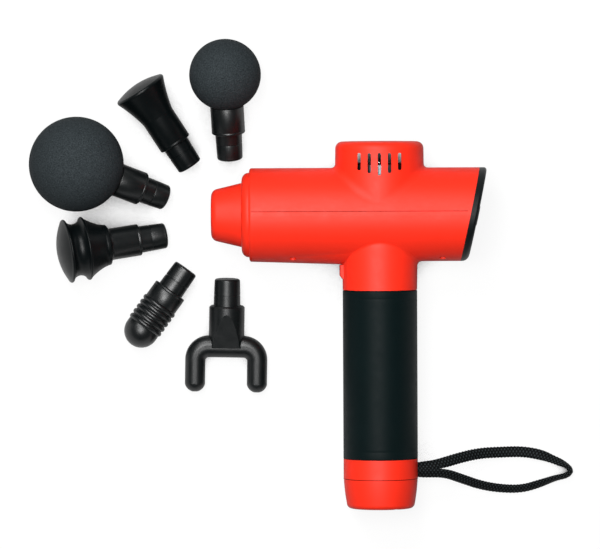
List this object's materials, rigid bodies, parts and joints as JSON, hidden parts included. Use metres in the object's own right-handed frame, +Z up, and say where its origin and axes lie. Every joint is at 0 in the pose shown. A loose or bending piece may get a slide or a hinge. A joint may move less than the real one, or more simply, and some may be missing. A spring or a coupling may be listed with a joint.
{
  "type": "massage gun",
  "caption": "Handheld percussive massage gun with a round barrel, rubber-sleeved battery handle and wrist lanyard, lying on its side beside its interchangeable massage heads.",
  "frame": {"origin": "on the table, under the middle of the gun and its heads together, without the lanyard", "axes": "+Z up from the table; -X is the way the gun's nose points; +Y runs from the handle toward the motor hump; the gun lies on its side and its handle dips by 2.1 degrees"},
  "size_m": [0.3505, 0.3022, 0.0608],
  "materials": {
    "red_shell": "satin moulded ABS",
    "black_trim": "satin moulded ABS",
    "display": "gloss smoked acrylic",
    "button_rubber": "matte silicone",
    "grip_rubber": "matte rubber",
    "foam": "matte dense foam",
    "head_plastic": "satin nylon",
    "head_rubber": "satin silicone rubber",
    "circuit": "coated glass-fibre board",
    "steel": "turned steel",
    "polished_steel": "polished steel",
    "aluminium": "machined aluminium",
    "bronze": "sintered bronze",
    "copper": "enamelled copper wire",
    "inner_plastic": "moulded nylon",
    "case_plastic": "moulded ABS",
    "cell_wrap": "shrink-wrapped cell",
    "contact": "plated contact",
    "light_lens": "clear acrylic",
    "braid": "braided polyester"
  },
  "bodies": {
    "gun_body": {"upper_housing": "red_shell", "lower_housing": "red_shell", "front_ring": "red_shell", "nose_cone": "red_shell", "rear_bezel": "black_trim", "display_lens": "display", "control_board": "circuit", "housing_screws": "steel", "mechanism_frame": "aluminium", "frame_screws": "steel", "front_bushing": "bronze", "guide_rods": "polished_steel", "motor_base": "aluminium", "motor_bearings": "polished_steel", "motor_stator": "steel", "stator_coils": "copper", "battery_socket": "inner_plastic", "socket_contacts": "contact"},
    "motor_rotor": {"rotor_can": "polished_steel", "rotor_magnets": "steel", "motor_shaft": "polished_steel", "crank": "steel", "crank_bearing": "polished_steel", "crank_bolt": "steel"},
    "piston": {"piston_tube": "aluminium", "piston_rod": "steel", "socket_ring": "head_rubber", "yoke": "aluminium", "yoke_bushes": "bronze"},
    "speed_button": {"speed_button": "button_rubber"},
    "release_button": {"release_button": "red_shell"},
    "battery_handle": {"battery_case": "case_plastic", "battery_contacts": "contact", "battery_cells": "cell_wrap", "battery_board": "circuit", "grip_sleeve": "grip_rubber", "base_ring": "red_shell", "base_cap": "red_shell", "base_screws": "steel", "rocker_frame": "black_trim", "charge_jack": "inner_plastic", "charge_light": "light_lens", "lanyard_bar": "steel", "lanyard": "braid"},
    "power_rocker": {"power_rocker": "black_trim"},
    "large_ball_head": {"large_ball": "foam", "large_ball_stem": "head_plastic"},
    "small_ball_head": {"small_ball": "foam", "small_ball_stem": "head_plastic"},
    "bell_head": {"bell_head": "head_rubber"},
    "cushion_head": {"cushion_bellows": "head_rubber", "cushion_stem": "head_plastic"},
    "ribbed_head": {"ribbed_head": "head_plastic"},
    "fork_head": {"fork_head": "head_plastic"}
  },
  "joints": [
    {"name": "crank_turn", "type": "hinge", "parent": "gun_body", "child": "motor_rotor", "pos_m": [0.07802, 0.03788, 0.03], "axis": [0, 0.9993, 0.0367], "range_deg": [-70, 70]},
    {"name": "piston_stroke", "type": "slide", "parent": "gun_body", "child": "piston", "axis": [1, 0, 0], "range_m": [-0.005, 0.005]},
    {"name": "speed_press", "type": "slide", "parent": "gun_body", "child": "speed_button", "axis": [-0.9789, 0.2044, 0.0075], "range_m": [0, 0.0006], "stiffness_N_per_m": 1500, "springref_m": -0.001},
    {"name": "release_press", "type": "slide", "parent": "gun_body", "child": "release_button", "axis": [1, 0, 0], "range_m": [0, 0.0015], "stiffness_N_per_m": 1500, "springref_m": -0.002},
    {"name": "battery_slide", "type": "slide", "parent": "gun_body", "child": "battery_handle", "axis": [0, -0.9993, -0.0367], "range_m": [0, 0.04]},
    {"name": "power_switch", "type": "hinge", "parent": "battery_handle", "child": "power_rocker", "pos_m": [0.07152, -0.1456, 0.02326], "axis": [1, 0, 0], "range_deg": [-14, 0]},
    {"name": "large_ball_lift", "type": "slide", "parent": "gun_body", "child": "large_ball_head", "axis": [0, 0, 1], "range_m": [0, 0.1]},
    {"name": "small_ball_lift", "type": "slide", "parent": "gun_body", "child": "small_ball_head", "axis": [0, 0, 1], "range_m": [0, 0.1]},
    {"name": "bell_lift", "type": "slide", "parent": "gun_body", "child": "bell_head", "axis": [0, 0, 1], "range_m": [0, 0.1]},
    {"name": "cushion_lift", "type": "slide", "parent": "gun_body", "child": "cushion_head", "axis": [0, 0, 1], "range_m": [0, 0.1]},
    {"name": "ribbed_lift", "type": "slide", "parent": "gun_body", "child": "ribbed_head", "axis": [0, 0, 1], "range_m": [0, 0.1]},
    {"name": "fork_lift", "type": "slide", "parent": "gun_body", "child": "fork_head", "axis": [0, 0, 1], "range_m": [0, 0.1]}
  ],
  "couplings": [
    {"joint": "crank_turn", "follows": "piston_stroke", "rad_per_m": 244}
  ]
}
